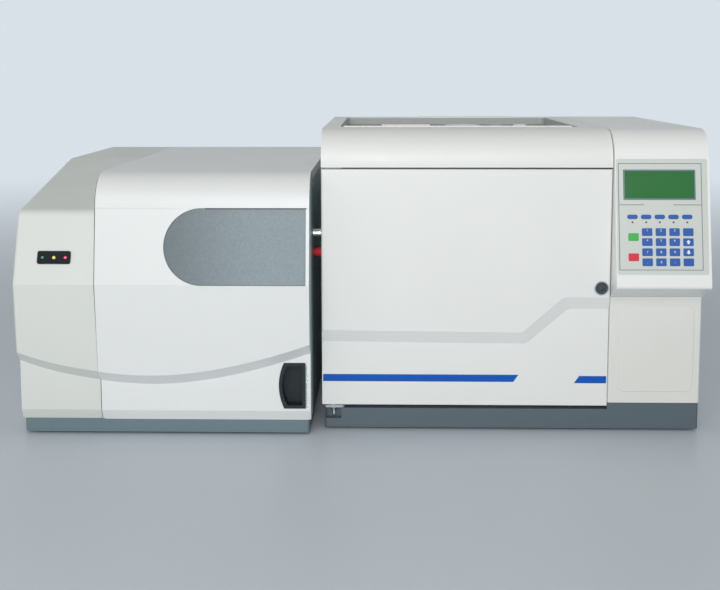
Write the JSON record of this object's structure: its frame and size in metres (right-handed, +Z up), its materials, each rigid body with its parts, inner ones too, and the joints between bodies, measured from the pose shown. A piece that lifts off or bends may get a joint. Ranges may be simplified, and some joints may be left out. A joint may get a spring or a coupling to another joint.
{
  "type": "gas chromatograph mass spectrometer",
  "caption": "Benchtop gas chromatograph with hinged oven door, lid and keypad panel, joined by a heated line to a mass spectrometer with a curved front.",
  "frame": {"origin": "centre of the footprint of the pair, on the bench under the feet", "axes": "+X to the right as seen from the front, +Y to the back, +Z up"},
  "size_m": [1.06, 0.62, 0.478],
  "materials": {
    "grey_white": "fine satin paint on moulded cover",
    "pale_grey": "fine satin paint",
    "cover_grey": "fine moulded texture",
    "speckled": "speckled dark grey coat",
    "black_plastic": "fine grain",
    "lens": "translucent lamp lens",
    "dark_steel": "satin dark paint",
    "slate": "satin slate paint",
    "zinc": "zinc-plated sheet",
    "aluminium": "machined",
    "stainless": "brushed",
    "bright": "polished",
    "molybdenum": "ground rods",
    "ceramic": "matt",
    "red_silicone": "smooth silicone",
    "rubber": "matt",
    "gasket": "glass rope",
    "magnet": "sintered magnet",
    "wool": "mineral wool",
    "motor": "painted body",
    "silica": "polyimide coated silica",
    "film": "printed film",
    "lcd": "backlit panel",
    "keys": "embossed film",
    "run_keys": "embossed film",
    "brass": "turned",
    "circuit": "laminate with components"
  },
  "bodies": {
    "chassis": {"ms_base": "slate", "left_cover": "cover_grey", "main_cover": "grey_white", "access_panel": "speckled", "hand_pull": "black_plastic", "indicator_bezel": "black_plastic", "indicator_lamps": "lens", "ms_side_panel": "dark_steel", "ms_back_panel": "zinc", "fan_frame": "black_plastic", "vacuum_chamber": "aluminium", "ion_source": "stainless", "quadrupole": "molybdenum", "ion_detector": "ceramic", "turbo_pump": "aluminium", "rear_fittings": "brass", "transfer_line": "stainless", "heater_sleeve": "red_silicone", "power_inlets": "black_plastic", "gc_base": "slate", "feet": "rubber", "oven_front_frame": "zinc", "hinge_brackets": "zinc", "hinge_pins": "bright", "catch_magnets": "magnet", "oven_liner": "stainless", "oven_insulation": "wool", "fan_motor": "motor", "fan_shroud": "stainless", "heater_coil": "bright", "column_cage": "bright", "capillary_column": "silica", "gc_left_panel": "pale_grey", "gc_right_panel": "pale_grey", "gc_back_panel": "zinc", "top_deck": "zinc", "injector_cover": "pale_grey", "detector_cap": "aluminium", "injection_ports": "stainless", "control_housing": "grey_white", "panel_film": "film", "display": "lcd", "keypad": "keys", "run_stop_keys": "run_keys", "lower_panel": "pale_grey", "circuit_boards": "circuit", "power_supplies": "zinc"},
    "oven_door": {"oven_door": "grey_white", "door_inner_panel": "stainless", "door_gasket": "gasket", "latch_ring": "bright"},
    "latch_button": {"latch_button": "black_plastic"},
    "top_cover": {"top_cover": "grey_white"},
    "oven_fan": {"oven_fan": "stainless"},
    "ms_fan": {"ms_fan": "black_plastic"},
    "turbo_rotor": {"turbo_rotor": "aluminium"},
    "exhaust_flap": {"exhaust_flap": "zinc"},
    "intake_flap": {"intake_flap": "zinc"},
    "ms_power_switch": {"ms_power_switch": "black_plastic"},
    "gc_power_switch": {"gc_power_switch": "black_plastic"}
  },
  "joints": [
    {"name": "door_hinge", "type": "hinge", "parent": "chassis", "child": "oven_door", "pos_m": [-0.044, -0.243, 0.228], "axis": [0, 0, -1], "range_deg": [0, 100]},
    {"name": "door_button", "type": "slide", "parent": "oven_door", "child": "latch_button", "axis": [0, 1, 0], "range_m": [0, 0.004], "stiffness_N_per_m": 900, "springref_m": -0.002},
    {"name": "lid_hinge", "type": "hinge", "parent": "chassis", "child": "top_cover", "pos_m": [0.162, 0.235, 0.422], "axis": [-1, 0, 0], "range_deg": [0, 70]},
    {"name": "oven_fan_spin", "type": "hinge", "parent": "chassis", "child": "oven_fan", "pos_m": [0.162, -0.033, 0.23], "axis": [0, 1, 0], "continuous": true},
    {"name": "ms_fan_spin", "type": "hinge", "parent": "chassis", "child": "ms_fan", "pos_m": [-0.3, 0.275, 0.215], "axis": [0, 1, 0], "continuous": true},
    {"name": "turbo_spin", "type": "hinge", "parent": "chassis", "child": "turbo_rotor", "pos_m": [-0.24, -0.18, 0.16], "axis": [0, 0, 1], "continuous": true},
    {"name": "exhaust_flap_hinge", "type": "hinge", "parent": "chassis", "child": "exhaust_flap", "pos_m": [0.162, 0.2301, 0.351], "axis": [1, 0, 0], "range_deg": [0, 40]},
    {"name": "intake_flap_hinge", "type": "hinge", "parent": "chassis", "child": "intake_flap", "pos_m": [0.162, 0.2301, 0.127], "axis": [1, 0, 0], "range_deg": [0, 40]},
    {"name": "ms_power_rocker", "type": "hinge", "parent": "chassis", "child": "ms_power_switch", "pos_m": [-0.138, 0.292, 0.08], "axis": [1, 0, 0], "range_deg": [0, 22]},
    {"name": "gc_power_rocker", "type": "hinge", "parent": "chassis", "child": "gc_power_switch", "pos_m": [0.472, 0.228, 0.11], "axis": [1, 0, 0], "range_deg": [0, 22]}
  ],
  "couplings": [
    {"joint": "intake_flap_hinge", "follows": "exhaust_flap_hinge", "ratio": 1}
  ]
}
